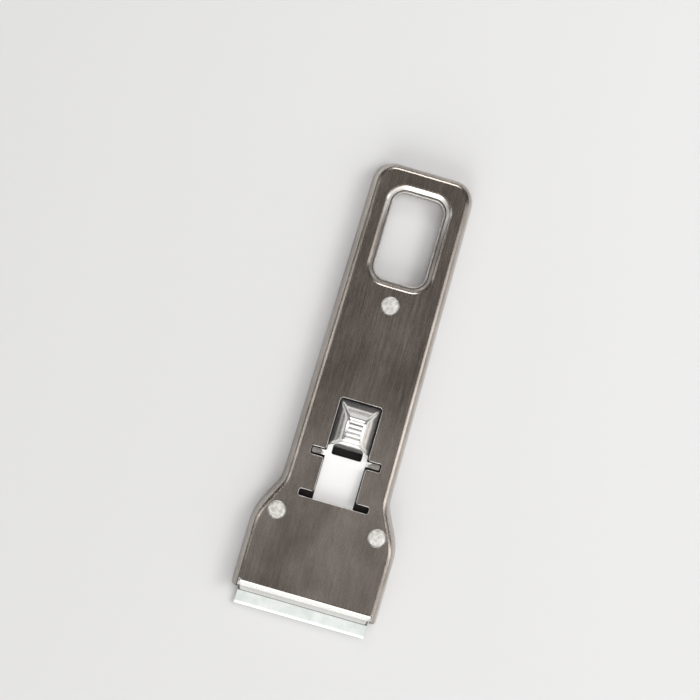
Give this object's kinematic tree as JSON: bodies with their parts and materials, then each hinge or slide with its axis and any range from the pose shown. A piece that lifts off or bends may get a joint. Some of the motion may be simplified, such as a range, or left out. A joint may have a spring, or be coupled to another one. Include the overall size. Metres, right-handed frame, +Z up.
{
  "type": "hob scraper",
  "caption": "All-steel hob scraper: sliding blade carrier, sprung thumb latch that catches in notches of a window, flush rivets and a dished hang hole",
  "frame": {"origin": "on the surface the scraper lies on, below the middle of the whole scraper with the blade at rest", "axes": "+Y from the blade's edge towards the hang hole, +Z up out of the front face, +X across the scraper"},
  "size_m": [0.0448, 0.139, 0.0102],
  "materials": {
    "shell_steel": "brushed lengthwise",
    "rivet_steel": "tumbled, slightly mottled",
    "slider_steel": "smooth bright spring strip",
    "blade_steel": "ground",
    "button_steel": "bright"
  },
  "bodies": {
    "body": {"front_shell": "shell_steel", "back_plate": "shell_steel", "handle_rivet": "rivet_steel", "left_rivet": "rivet_steel", "right_rivet": "rivet_steel"},
    "slider": {"blade_carrier": "slider_steel", "blade_pegs": "rivet_steel", "blade": "blade_steel", "leaf_rivets": "rivet_steel"},
    "latch": {"latch_leaf": "slider_steel", "thumb_button": "button_steel"}
  },
  "joints": [
    {"name": "blade_slide", "type": "slide", "parent": "body", "child": "slider", "axis": [0, -1, 0], "range_m": [0, 0.0129]},
    {"name": "latch_hinge", "type": "hinge", "parent": "slider", "child": "latch", "pos_m": [0, -0.0461, 0.00255], "axis": [1, 0, 0], "range_deg": [-3.5, 2], "stiffness_Nm_per_rad": 0.05, "springref_deg": 5.73}
  ]
}
